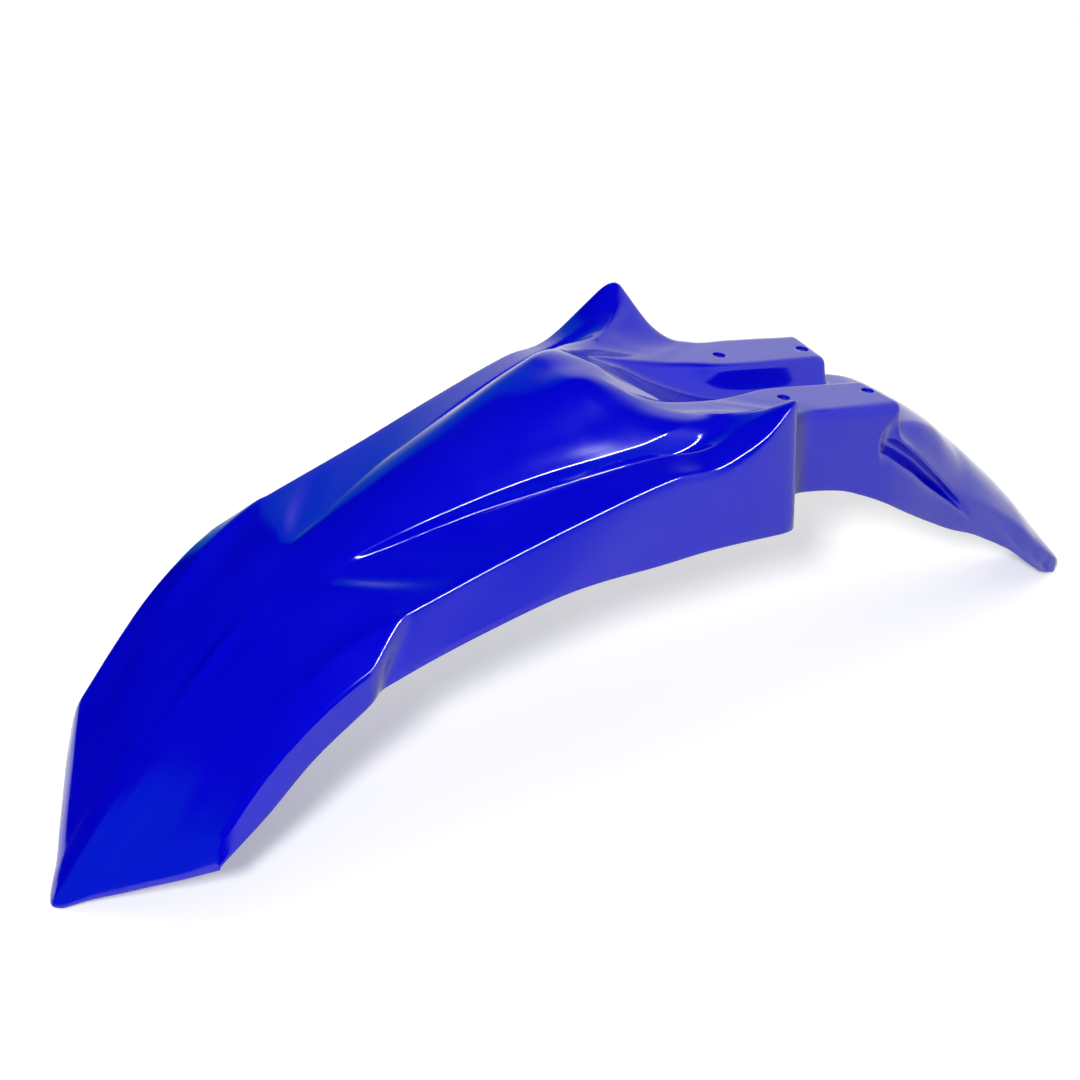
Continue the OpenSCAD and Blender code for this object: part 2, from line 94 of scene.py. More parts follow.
# Values along the shell as (station, value): how far the ramp is hollowed, how far the wall below
# the pads leads forward, both in millimetres, and the power that flattens the top of the tail
RAMP_HOLLOW = [(300, 0), (315, 5), (330, 3), (345, 1), (360, 0)]
WALL_LEAD = [(400, 0), (465, 12), (490, 7), (505, 0), (560, 0), (620, 5)]
TAIL_FLATNESS = [(490, 14), (520, 8), (560, 3), (620, 2.2)]

# Guide lines of the left half, each point as (station, x, y, z). Ahead of the crest:
CENTRE_LINE = [
    (0, 475, 0, -299), (25, 450, 0, -249), (50, 425, 0, -203.5), (80, 394, 0, -155),
    (110, 363, 0, -119.5), (144, 328, 0, -87.5), (184, 287, 0, -54.5), (230, 240, 0, -20),
    (275, 196, 0, 9), (300, 168, 0, 20.5),
]
CROWN_INNER = [
    (0, 472.8, 6.5, -295.5), (50, 424, 7, -202), (90, 380.5, 7, -139.8), (144, 325.5, 9, -85.5),
    (184, 284, 14, -53.5), (230, 238, 18, -21), (265, 205, 20, 1.5), (300, 173, 17, 22),
]
CROWN_OUTER = [
    (0, 469, 13, -289.5), (50, 421.5, 13.5, -198), (90, 377, 13.5, -136), (144, 321.5, 17, -83),
    (184, 277, 27, -53), (230, 228, 36, -24.6), (265, 190, 45, -8), (300, 151, 48.5, 7),
]
GROOVE_INNER = [
    (0, 464.2, 20, -282.5), (50, 418, 19.5, -193), (90, 372, 19, -129.6), (135, 328, 21.6, -89.5),
    (168, 288, 33.8, -64.4), (226, 217, 51, -30.7), (264, 171, 62.3, -14.8), (276, 156, 65.2, -9.5),
    (300, 127, 66, 5),
]
GROOVE_OUTER = [
    (0, 446.1, 54, -254.1), (50, 406, 46, -177.7), (90, 361, 34, -119), (135, 326.5, 25.5, -90.8),
    (161, 292, 33.8, -73.5), (195, 243, 50.5, -48.5), (219, 209, 61.5, -33.5), (259, 152, 76, -12),
    (284, 116, 85, -2.5), (300, 87, 85.5, 17.5),
]
SHOULDER_LINE = [
    (0, 436.5, 72, -239.5), (22, 409, 72.5, -189.5), (45, 382, 74.3, -146.5), (65, 357.3, 78.2, -118.3),
    (90, 323.2, 84.3, -95), (100, 317, 85, -92.2), (150, 258, 87.5, -64.5), (200, 204, 92.3, -39.5),
    (250, 150, 97.5, -16.8), (280, 113, 102, -5.5), (291, 93, 104.2, 11.5), (300, 76, 101, 32),
]
LIP_TOP = [
    (0, 426.5, 90.6, -223.6), (22, 406, 92.2, -187.6), (45, 385.4, 95.2, -158.3), (65, 365, 97.4, -136.5),
    (90, 344.8, 99.3, -119.9),
]
LIP_FOOT = [(0, 422.5, 95, -235.5), (30, 399, 96, -208), (60, 374, 97.5, -174), (90, 342.5, 100.3, -141)]
SKIRT_FOOT = [
    (100, 333, 92, -138), (125, 303, 92.8, -123), (155, 265, 94.8, -105.5), (190, 220, 97.7, -87),
    (245, 154, 102.3, -71.5), (280, 111, 106.3, -61.5), (300, 65, 109, -55),
]
# Behind the crest:
FLOOR_LINE = [
    (300, 168, 0, 20.5), (312, 157, 0, 17.5), (330, 138, 0, 8.5), (350, 114, 0, -2), (370, 90, 0, -11),
    (390, 66, 0, -18), (420, 30, 0, -21), (465, -37, 0, -20.6), (490, -45, 0, -20.4),
    (510, -80, 0, -23), (530, -100, 0, -30.5), (560, -132, 0, -50.5), (590, -163, 0, -71.5),
    (625, -197, 0, -97), (660, -231, 0, -126.5), (690, -257, 0, -150.5),
]
CHANNEL_FOOT = [
    (300, 173, 17, 22), (315, 155, 28, 12.5), (333, 132, 33.5, 4), (350, 114.5, 31.5, -0.5),
    (362, 100, 25.5, -7), (378, 80, 20, -13.5), (392, 64, 16.5, -17.5), (420, 32, 14.5, -20.5),
    (465, -35, 14, -20.5),
]
PAD_INNER_EDGE = [
    (300, 151, 48.5, 7), (315, 137, 43.5, 5.5), (333, 117, 36.7, 3.2), (350, 101, 33, 1.5),
    (370, 80, 28.8, 0), (390, 60, 24.5, 0), (405, 47, 20.5, 0), (425, 30, 18.5, 0), (465, -40.5, 19.5, 0),
]
PAD_OUTER_EDGE = [
    (300, 76, 101, 32), (315, 66, 84, 17), (330, 57, 72, 7), (345, 47, 64.5, 1.5),
    (360, 35, 61, 0), (400, 8, 60.5, 0), (465, -43.5, 60, 0),
]
TAIL_SHOULDER = [
    (490, -48, 60, -24.5), (502, -65, 58, -37), (525, -91, 52.5, -56.5), (545, -109, 48.5, -69.5),
    (570, -136, 43, -81), (590, -154, 39, -88.5), (615, -179, 33.5, -102), (635, -199, 30, -114),
    (652, -214, 26.5, -125), (672, -226, 24, -134), (690, -236, 21, -141),
]
NECK_FOOT = [
    (300, 65, 109, -55), (315, 59, 94, -54.5), (330, 52, 80, -54), (345, 43, 70, -53),
    (360, 33, 64.5, -53), (385, 19, 62.8, -53), (415, -6, 62.5, -55), (440, -23, 62.5, -59.5),
    (465, -38, 62.2, -64.5), (490, -49, 61.2, -69), (503, -66, 58, -77), (522, -97, 51, -90.5),
    (534, -118, 46.5, -99), (546, -139, 42.5, -105.5), (565, -163, 37, -115.5), (590, -188, 32, -127),
    (615, -210, 27.5, -140), (640, -223, 24.5, -147.5), (690, -234.5, 21, -152.8),
]
CORNER_FOOT = np.array([426, 95, -240.0])
TAIL_FOOT = np.array([-238, 19.8, -153.8])

# Forward, forward and outward lean of the front lip, and how it deepens away from the nose
LIP_LEAN = (3, 1.5, 3)
LIP_GROWTH = 0.6
# Forward lean of the rim round the tail's tip, and how it deepens toward the side
RIM_LEAN = 0.5
RIM_GROWTH = 2.2
# Places between two guide lines, as shares of the way from the inner to the outer one
VALLEY_SHARE = 0.55
WALL_SHARE = (0.35, 0.68)
TAIL_WALL_SHARE = (0.5, 0.75)
PAD_SHARE = (0.32, 0.46, 0.6)
TAIL_SHARE = (0, 0.18, 0.34, 0.48, 0.58, 0.66, 1)
DIMPLE_SHARE = 0.16
# How far the tail's end turns round at its sides
END_TURN = math.radians(78)
# How sharp the valley's floor, the nose's shoulder and the dimple's two lower lines are
VALLEY_KEEN = 0.6
NOSE_KEEN = 0.3
DIMPLE_KEEN = (0.6, 0.8)

# Runs of stations as (first, last, number of rows), closer together where the shell bends
ROW_RUNS = [
    (-4, 4, 8), (4, 86, 22), (86, 104, 18), (104, 282, 42), (282, 318, 34), (318, 400, 28),
    (400, 459, 12), (459, 471, 12), (471, 495, 14), (495, 640, 36), (640, 694, 28),
]
# Points between neighbouring guide lines and on each line's rounding
BETWEEN = (4, 6, 5, 2, 2, 6, 3, 3, 0)
ROUND_POINTS = (0, 6, 6, 6, 4, 6, 6, 6, 3, 0)
# An edge at least this keen is fully rounded, and a smooth line isn't
ROUNDED_FROM = 0.5
# Steps down the band inside the free edge, and round the edge itself
BAND_STEPS = 2
RIM_STEPS = 6
# Folds along the shell that are rounded too: (station, rounding, share of more that widens it)
FOLDS = [
    (FRONT_EDGE, EDGE_ROUND, 1), (NOTCH, EDGE_ROUND, 0), (NOTCH_BACK, EDGE_ROUND, 0),
    (CREST, CREST_ROUND, 1), (PADS_STOP, EDGE_ROUND, 1), (PADS_FOOT, PADS_FOOT_ROUND, 0),
    (TAIL_END, EDGE_ROUND, 0.4),
]
# The crest's wide rounding ends between these two guide lines
CREST_WIDE_TO = (3, 5)
# Widths of the roundings are taken to the nearest of this step
ROUND_STEP = 0.5
# A rounding takes at most this share of the way to the next guide line
ROUND_MOST = 0.45
# A distance too short to matter, and one that only keeps a division from failing
NEAR_ZERO = 0.001
TINY = 1e-6
# Points of a cutter nearer than this, in metres, are one point
SAME_POINT = 1e-7

# Plastic: two blues that mix in flow marks, gloss that varies in patches, and orange peel
PLASTIC_IOR = 1.5
BLUE_DEEP = (0.0, 0.0, 0.52, 1)
BLUE_BRIGHT = (0.0, 0.0, 0.58, 1)
FLOW_STRETCH = (4, 16, 16)
HAZE_SCALE = 22.0
HAZE_RANGE = (0.3, 0.7)
PLASTIC_ROUGHNESS = (0.1, 0.16)
PEEL_SCALE = 260.0
PEEL_STRENGTH = 0.12
PEEL_DEPTH = 0.00006
# Folds steeper than this are shaded as edges
SHARP_FROM = math.radians(50)

# The photograph's camera, in metres, and the slope of its floor
CAMERA_PLACE = (1.434, 1.6988, 0.788)
CAMERA_AIM = (0.1408, -0.0415, -0.1209)
CAMERA_LENS = 125
CAMERA_SENSOR = 36
CAMERA_FAR = 50
CAMERA_SLOPE = math.radians(10.97)

# The floor: its colour for the camera and the gloss, its grey bounce, and the light added for them
FLOOR_COLOUR = (0.97, 0.97, 0.97)
FLOOR_BOUNCE = (0.35, 0.35, 0.35)
FLOOR_ROUGHNESS = 0.9
FLOOR_LIFT = 0.3
FLOOR_RADIUS = 0.9
FLOOR_STEPS = 96
FLOOR_TILT_SEARCH = (0.0, 0.5)
FLOOR_TILT_TRIES = 40

# The studio's soft light, from the horizon's level up to the zenith's
SKY = (0.22, 0.62)
# What the gloss mirrors: a white wall behind the tail that darkens to a cool blue at its sides and
# fades out between two elevations, and a dim room ahead of the nose. Sides are shares of the way
# to an axis, and elevations are degrees above the floor.
WALL_AZIMUTH = 178
WALL_TOP = (33, 62)
WALL_SIDE = (0.0, 0.48)
WALL_STOPS = (
    (0.0, (0.0, 0.0, 0.0)), (0.06, (0.01, 0.2, 0.26)), (0.28, (0.03, 0.26, 0.32)),
    (0.47, (0.3, 0.45, 0.5)), (0.66, (0.85, 0.88, 0.9)), (1.0, (1.15, 1.15, 1.15)),
)
ROOM_AZIMUTH = -10
ROOM_TOP = (19, 23)
ROOM_SIDE = (0.74, 0.82)
ROOM_COLOUR = (0.02, 0.2, 0.25, 1)

# The place that the lamps face
CENTRE = Vector((0.1, 0, -0.1))
# Lamps as (name, azimuth, elevation, distance, size, power, azimuth of the long side, whether they
# light the plastic's colour, whether the gloss mirrors them)
LAMPS = [
    ("key", 50, 32.5, 6.0, (0.55, 0.55), 300, 140, True, False),
    ("strip_left", 78, 51, 1.4, (0.9, 0.09), 26, 0, False, True),
]


def lerp(a, b, t):
    return a + (b - a) * t


def clamp(v):
    return min(1.0, max(0.0, v))


def ease(span, v):
    """A smooth step from 0 at the span's first station to 1 at its second."""
    t = clamp((v - span[0]) / (span[1] - span[0]))
    return t * t * (3 - 2 * t)


def along_shell(table, s):
    return np.interp(s, *zip(*table))


def unit(v):
    return v / np.maximum(np.linalg.norm(v, axis=-1, keepdims=True), TINY)


def hermite(a, b, ta, tb, t):
    return (
        (2 * t**3 - 3 * t**2 + 1) * a + (t**3 - 2 * t**2 + t) * ta
        + (3 * t**2 - 2 * t**3) * b + (t**3 - t**2) * tb
    )


def bow(a, b, c, t):
    return (1 - t) ** 2 * a + 2 * t * (1 - t) * b + t**2 * c


def at(line, s):
    """The point of a guide line at a station, on a smooth curve through its points."""
    p = np.array(line, float)
    i = int(np.clip(np.searchsorted(p[:, 0], s) - 1, 0, len(p) - 2))

    def rise(k):
        return (p[k + 1, 1:] - p[k, 1:]) / (p[k + 1, 0] - p[k, 0])

    def slope(k):
        if k == 0:
            return rise(0)
        if k == len(p) - 1:
            return rise(k - 1)
        before, after = p[k, 0] - p[k - 1, 0], p[k + 1, 0] - p[k, 0]
        return (rise(k - 1) * after + rise(k) * before) / (before + after)

    h = p[i + 1, 0] - p[i, 0]
    return hermite(p[i, 1:], p[i + 1, 1:], slope(i) * h, slope(i + 1) * h, (s - p[i, 0]) / h)


def front_row(s):
    """Crown, groove, side panel, and a lip or a skirt, from the centre line to the free edge."""
    inner, outer, shoulder = at(GROOVE_INNER, s), at(GROOVE_OUTER, s), at(SHOULDER_LINE, s)
    drop = np.array([0, GROOVE_LEAN, GROOVE_DEPTH]) * ease(GROOVE_DEEPENS, s)
    valley = lerp(inner, outer, VALLEY_SHARE) - drop
    behind = clamp((s - NOTCH) / (NOTCH_BACK - NOTCH))
    lip, lip_end = at(LIP_TOP, min(s, NOTCH)), at(LIP_FOOT, min(s, NOTCH))
    top, end = at(SHOULDER_LINE, max(s, NOTCH_BACK)), at(SKIRT_FOOT, max(s, NOTCH_BACK))
    return [
        at(CENTRE_LINE, s), at(CROWN_INNER, s), at(CROWN_OUTER, s), inner, valley, outer, shoulder,
        lerp(lip, lerp(top, end, WALL_SHARE[0]), behind),
        lerp(lerp(lip, lip_end, 0.5), lerp(top, end, WALL_SHARE[1]), behind),
        lerp(lip_end, end, behind),
    ]


def dimple(s):
    """How far the long dimple below the tail's shoulder is pressed in, from 0 to 1."""
    return ease(DIMPLE_STARTS, s) * ease(DIMPLE_STOPS, s)


def side_wall(top, foot, s):
    """The wall below the pads and the tail's shoulder, with the long dimple pressed into it."""
    pressed = dimple(s)
    near = min(WALL_SHARE[1], DIMPLE_WIDTH / np.linalg.norm(foot - top))
    share = [lerp(a, b, ease(TAIL_WALL_STEEPENS, s)) for a, b in zip(WALL_SHARE, TAIL_WALL_SHARE)]
    lead = along_shell(WALL_LEAD, s)
    return [
        lerp(top, foot, lerp(share[0], near * DIMPLE_SHARE, pressed))
        + np.array([lead, -DIMPLE_DEPTH * pressed, 0]),
        lerp(top, foot, lerp(share[1], near, pressed)) + np.array([lead / 2, 0, 0]),
        foot,
    ]


def pad_row(s):
    """Ramp and channel, pad, the wing's back wall and the neck."""
    inner, outer, foot = at(PAD_INNER_EDGE, s), at(PAD_OUTER_EDGE, s), at(NECK_FOOT, s)
    rim = front_row(CREST)
    left = ease(RIM_BLENDS, s)
    hollow = np.array([0, 0, along_shell(RAMP_HOLLOW, s)])
    middle = []
    for k, share in enumerate(PAD_SHARE):
        kept = rim[3 + k] - lerp(rim[2], rim[6], share)
        middle.append(lerp(inner, outer, share) + kept * (1 - left) - hollow)
    return [at(FLOOR_LINE, s), at(CHANNEL_FOOT, s), inner, *middle, outer, *side_wall(outer, foot, s)]


def tail_row(s):
    """A top that starts flat and grows round, with a half-round end."""
    middle, shoulder, foot = at(FLOOR_LINE, s), at(TAIL_SHOULDER, s), at(NECK_FOOT, s)
    end, flat = ease(TAIL_ROUNDS, s), along_shell(TAIL_FLATNESS, s)
    top = []
    for q in TAIL_SHARE:
        turned = (1 - math.cos(q * END_TURN)) / (1 - math.cos(END_TURN))
        x = lerp(middle[0], shoulder[0], lerp(q, turned, end))
        y = shoulder[1] * lerp(q, math.sin(q * END_TURN) / math.sin(END_TURN), end)
        z = lerp(middle[2], shoulder[2], lerp(q**flat, q**2, end))
        top.append(np.array([x, y, z]))
    return top + side_wall(shoulder, foot, s)


def nose_rim():
    """The rim under the front edge."""
    top = front_row(FRONT_EDGE)
    rim = []
    for p in top[:7]:
        k = p[1] / top[7][1]
        depth = lerp(NOSE_LIP_H, CORNER_LIP_H, k**LIP_GROWTH)
        rim.append(p + np.array([lerp(LIP_LEAN[0], LIP_LEAN[1], k), LIP_LEAN[2] * k, -depth]))
    return rim + [CORNER_FOOT] * 3


def tail_rim():
    """The rim round the tail's tip."""
    top = tail_row(TAIL_END)
    side = top[6][2] - TAIL_FOOT[2]
    rim = []
    for p in top[:6]:
        depth = lerp(TAIL_RIM_H, side, (p[1] / top[6][1]) ** RIM_GROWTH)
        rim.append(p + np.array([RIM_LEAN, 0, -depth]))
    return rim + [TAIL_FOOT] * 4


def blend_rows(a, b, t):
    return [lerp(p, q, t) for p, q in zip(a, b)]


def guide_row(s):
    """The ten guide points of one row."""
    if s < FRONT_EDGE:
        return blend_rows(front_row(FRONT_EDGE), nose_rim(), min(1, (FRONT_EDGE - s) / LIP_STATIONS))
    if s <= CREST:
        return front_row(s)
    if s <= PADS_STOP:
        return pad_row(s)
    if s <= PADS_FOOT:
        down = (s - PADS_STOP) / (PADS_FOOT - PADS_STOP)
        return blend_rows(pad_row(PADS_STOP), tail_row(PADS_FOOT), down)
    if s <= TAIL_END:
        return tail_row(s)
    return blend_rows(tail_row(TAIL_END), tail_rim(), min(1, (s - TAIL_END) / LIP_STATIONS))


def reach(s):
    """How far each guide line's edge is rounded."""
    ridge = lerp(EDGE_ROUND, RIDGE_ROUND, ease(GROOVE_NARROWS, s))
    channel = lerp(EDGE_ROUND, CHANNEL_ROUND, ease(CHANNEL_WIDENS, s) * ease(CHANNEL_NARROWS, s))
    return [0, channel, EDGE_ROUND, ridge, EDGE_ROUND, ridge, channel, EDGE_ROUND, EDGE_ROUND, 0]


def keen(s):
    """How sharp each guide line is before its edge is rounded: 0 smooth, 1 an edge."""
    groove = ease(GROOVE_SHARPENS, s) * ease(GROOVE_SOFTENS, s)
    channel = ease(CHANNEL_SHARPENS, s) * ease(CHANNEL_SOFTENS, s)
    shoulder = lerp(NOSE_KEEN, 1, ease(NOSE_SHARPENS, s))
    side = ease((NOTCH_BACK, NOTCH), s) + DIMPLE_KEEN[0] * dimple(s)
    low = DIMPLE_KEEN[1] * dimple(s)
    return [0, channel, channel, groove, VALLEY_KEEN * groove, groove, shoulder, side, low, 1]


@functools.lru_cache(maxsize=None)
def across_row(s, more):
    """One row of points across the half shell, its edges rounded and, inside, by more."""
    p, r, k = guide_row(s), reach(s), keen(s)
    n = len(p)
    gap = [max(np.linalg.norm(p[j + 1] - p[j]), TINY) for j in range(n - 1)]
    line = [(p[j + 1] - p[j]) / gap[j] for j in range(n - 1)]
    flow = [np.array([0, 1.0, 0])]
    for j in range(1, n - 1):
        flow.append((line[j - 1] * gap[j] + line[j] * gap[j - 1]) / (gap[j - 1] + gap[j]))
    flow.append(line[-1])
    away = [lerp(flow[j], line[j], k[j]) for j in range(n - 1)]
    onto = [lerp(flow[j + 1], line[j], k[j + 1]) for j in range(n - 1)]
    wide = [r[j] + more * k[j] for j in range(n)]
    lead = [0] + [min(ROUND_MOST, wide[j] / gap[j]) for j in range(1, n - 1)]
    tail = [min(ROUND_MOST, wide[j + 1] / gap[j]) for j in range(n - 2)] + [0]

    def between(j, t):
        return hermite(p[j], p[j + 1], away[j] * gap[j], onto[j] * gap[j], t)

    row = [p[0]]
    for j in range(n - 2):
        for i in range(1, BETWEEN[j] + 1):
            row.append(between(j, lerp(lead[j], 1 - tail[j], i / (BETWEEN[j] + 1))))
        stop, start = between(j, 1 - tail[j]), between(j + 1, lead[j + 1])
        count = ROUND_POINTS[j + 1]
        for i in range(count):
            t = 2 * i / (count - 1) - 1
            smooth = between(j, 1 + tail[j] * t) if t < 0 else between(j + 1, lead[j + 1] * t)
            rounded = bow(stop, p[j + 1], start, (t + 1) / 2)
            row.append(lerp(smooth, rounded, clamp(k[j + 1] / ROUNDED_FROM)))
    row.append(p[-1])
    return np.array(row)


def last_round(line):
    """The column of the last point of a guide line's rounding."""
    return sum(BETWEEN[:line]) + sum(ROUND_POINTS[: line + 1])


def shell_row(s, more):
    """One row with the folds along the shell rounded, the crest more widely in its middle."""
    row = across_row(s, more)
    columns = np.arange(len(row))
    wide_to = [last_round(line) for line in CREST_WIDE_TO]
    for station, rounding, share in FOLDS:
        middle = CREST_ROUND_MIDDLE if station == CREST else rounding
        reaches = np.interp(columns, wide_to, [middle, rounding]) + share * more
        reaches = np.round(reaches / ROUND_STEP) * ROUND_STEP
        if abs(s - station) >= reaches.max() - NEAR_ZERO:
            continue
        row = row.copy()
        for w in sorted(set(reaches)):
            if abs(s - station) < w - NEAR_ZERO:
                here = reaches == w
                rows = [across_row(station + d, more)[here] for d in (-w, 0, w)]
                row[here] = bow(*rows, (s - station + w) / (2 * w))
    return row


def stations():
    """The stations of the rows: each run without its last, then the very last."""
    runs = [np.linspace(a, b, n, endpoint=False) for a, b, n in ROW_RUNS]
    return np.concatenate(runs + [[ROW_RUNS[-1][1]]])


ROWS = stations()
END_ROW = len(ROWS) - 1
TOP_COUNT = len(across_row(200, 0)) - 1
LAST = TOP_COUNT - 1
FRONT_CORNER = last_round(7)
TAIL_CORNER = last_round(6)
BORDER = (
    [(0, j) for j in range(FRONT_CORNER + 1)]
    + [(i, LAST) for i in range(END_ROW + 1)]
    + [(END_ROW, j) for j in range(TAIL_CORNER, -1, -1)]
)


def through(before, p, after):
    return unit(p - before) + unit(after - p)


def skin(more, depth):
    """The sheet of points and its free edge, moved inward by depth, and the edge's way down."""
    full = np.array([shell_row(s, more) for s in ROWS])
    sheet, side_feet = full[:, :TOP_COUNT], full[:, TOP_COUNT]
    nose = across_row(FRONT_EDGE - LIP_STATIONS, more)
    tip = across_row(TAIL_END + LIP_STATIONS, more)
    feet = np.concatenate([nose[: FRONT_CORNER + 1], side_feet, tip[TAIL_CORNER::-1]])
    mirror = np.array([1, -1, 1])

    above = np.concatenate([sheet[:, 1:2] * mirror, sheet[:, :-1]], axis=1)
    below = np.concatenate([sheet[:, 1:], side_feet[:, None]], axis=1)
    before = np.concatenate([sheet[:1], sheet[:-1]])
    after = np.concatenate([sheet[1:], sheet[-1:]])
    first, end = slice(0, FRONT_CORNER + 1), slice(0, TAIL_CORNER + 1)
    ring = above.copy()
    above[0, first] = sheet[1, np.minimum(np.arange(FRONT_CORNER + 1), FRONT_CORNER - 1)]
    below[0, first] = feet[: FRONT_CORNER + 1]
    before[0] = feet[FRONT_CORNER]
    before[0, first] = ring[0, first]
    after[0, :FRONT_CORNER] = sheet[0, 1 : FRONT_CORNER + 1]
    above[-1, end] = sheet[-2, np.minimum(np.arange(TAIL_CORNER + 1), TAIL_CORNER - 1)]
    below[-1, end] = feet[len(BORDER) - 1 - np.arange(TAIL_CORNER + 1)]
    before[-1, :TAIL_CORNER] = sheet[-1, 1 : TAIL_CORNER + 1]
    after[-1] = feet[len(BORDER) - 1 - TAIL_CORNER]
    after[-1, end] = ring[-1, end]

    out, on = through(above, sheet, below), through(before, sheet, after)
    normal = np.cross(out, on)
    normal[:, 0, 1] = 0
    moved = sheet - depth * unit(normal)

    edge = np.array([sheet[i, j] for i, j in BORDER])
    ahead = np.concatenate([feet[1:2] * mirror, feet[:-1]])
    behind = np.concatenate([feet[1:], feet[-2:-1] * mirror])
    turn = np.cross(feet - edge, through(ahead, feet, behind))
    turn[[0, -1], 1] = 0
    return moved, feet - depth * unit(turn)


def shell_mesh():
    """The whole shell as one closed mesh with a half-round free edge."""
    outer, outer_feet = skin(0, 0)
    inner, inner_feet = skin(WALL, WALL)
    border = np.array([i * TOP_COUNT + j for i, j in BORDER])
    count = len(BORDER)

    # Down the outer band, round the free edge and up the inner band
    outer_edge, inner_edge = outer.reshape(-1, 3)[border], inner.reshape(-1, 3)[border]
    down = unit(unit(outer_feet - outer_edge) + unit(inner_feet - inner_edge))
    across = (outer_feet - inner_feet) / 2
    radius = np.minimum(np.linalg.norm(across, axis=1, keepdims=True), WALL / 2)
    middle = (outer_feet + inner_feet) / 2 - down * radius
    ring = [lerp(outer_edge, middle + across, k / BAND_STEPS) for k in range(1, BAND_STEPS)]
    for k in range(RIM_STEPS + 1):
        turn = math.pi * k / RIM_STEPS
        ring.append(middle + across * math.cos(turn) + down * radius * math.sin(turn))
    ring += [lerp(middle - across, inner_edge, k / BAND_STEPS) for k in range(1, BAND_STEPS)]

    half = np.concatenate([outer.reshape(-1, 3), inner.reshape(-1, 3), *ring])
    total = TOP_COUNT * len(ROWS)
    faces = []
    for i in range(END_ROW):
        for j in range(LAST):
            k = i * TOP_COUNT + j
            face = (k, k + TOP_COUNT, k + TOP_COUNT + 1, k + 1)
            faces.append(face)
            faces.append(tuple(total + corner for corner in face[::-1]))
    bands = [2 * total + count * k + np.arange(count) for k in range(len(ring))]
    loops = [border, *bands, total + border]
    tail_turn = FRONT_CORNER + len(ROWS)
    for k in range(len(loops) - 1):
        a, b = loops[k], loops[k + 1]
        for q in range(count - 1):
            if q in (FRONT_CORNER, tail_turn) and k in (0, len(loops) - 2):
                shift = 0 if k == 0 else total
                column = [shift + c for c in corner_column(q)]
                if k == 0:
                    faces.append((*column, b[q + 1], b[q]))
                else:
                    faces.append((*column[::-1], a[q], a[q + 1]))
            else:
                faces.append((a[q], a[q + 1], b[q + 1], b[q]))
    return mirrored_mesh(half, faces)


def corner_column(q):
    """The sheet's points that stand below one another at a corner, from the top."""
    if q == FRONT_CORNER:
        return list(range(FRONT_CORNER, LAST + 1))
    return [END_ROW * TOP_COUNT + j for j in range(LAST, TAIL_CORNER - 1, -1)]


def mirrored_mesh(half, faces):
    """Joins the left half and its mirror image along the centre plane."""
    count = len(half)
    on_centre = np.abs(half[:, 1]) < TINY
    index = np.where(on_centre, np.arange(count), count + np.arange(count))
    points = np.concatenate([half, half * [1, -1, 1]]) * MM
    other = [tuple(int(index[v]) for v in reversed(f)) for f in faces]
    mesh = bpy.data.meshes.new("mudguard_shell")
    mesh.from_pydata(points.tolist(), [], [tuple(int(v) for v in f) for f in faces] + other)
    work = bmesh.new()
    work.from_mesh(mesh)
    bmesh.ops.delete(work, geom=[v for v in work.verts if not v.link_faces], context="VERTS")
    bmesh.ops.dissolve_degenerate(work, dist=TINY, edges=work.edges)
    bmesh.ops.recalc_face_normals(work, faces=work.faces)
    work.to_mesh(mesh)
    work.free()
    return mesh


def hole_cutter(x, y):
    """A round cutter whose ends open out, so the hole gets a soft lip on both faces."""
    r, lip = HOLE_D / 2, HOLE_LIP
    profile = [(0, HOLE_MOUTH), (r + HOLE_MOUTH, HOLE_MOUTH), (r + lip, 0)]
    profile += [(r + lip * (1 - math.sin(a)), -lip * (1 - math.cos(a))) for a in HOLE_LIP_TURNS]
    profile += [(px, -WALL - pz) for px, pz in reversed(profile)]
    work = bmesh.new()
    line = [work.verts.new(((x + px) * MM, y * MM, pz * MM)) for px, pz in profile]
    edges = [work.edges.new((a, b)) for a, b in zip(line, line[1:])]
    centre = (x * MM, y * MM, 0)
    bmesh.ops.spin(
        work, geom=line + edges, axis=(0, 0, 1), cent=centre, steps=HOLE_STEPS, angle=math.tau
    )
    bmesh.ops.remove_doubles(work, verts=work.verts, dist=SAME_POINT)
    bmesh.ops.recalc_face_normals(work, faces=work.faces)
    mesh = bpy.data.meshes.new("hole_cutter")
    work.to_mesh(mesh)
    work.free()
    return mesh


def add_object(name, mesh):
    piece = bpy.data.objects.new(name, mesh)
    bpy.context.scene.collection.objects.link(piece)
    return piece


def cut_holes(piece):
    for x in (-HOLE_PITCH_X / 2, HOLE_PITCH_X / 2):
        for y in (-HOLE_PITCH_Y / 2, HOLE_PITCH_Y / 2):
            cutter = add_object("hole_cutter", hole_cutter(x, y))
            cut = piece.modifiers.new("hole", "BOOLEAN")
            cut.operation = "DIFFERENCE"
            cut.object = cutter
            cut.solver = "EXACT"
            bpy.context.view_layer.objects.active = piece
            bpy.ops.object.modifier_apply(modifier=cut.name)
            bpy.data.objects.remove(cutter)


def node(tree, kind, **values):
    made = tree.nodes.new(kind)
    for key, value in values.items():
        if key in made.inputs:
            made.inputs[key].default_value = value
        else:
            setattr(made, key, value)
    return made


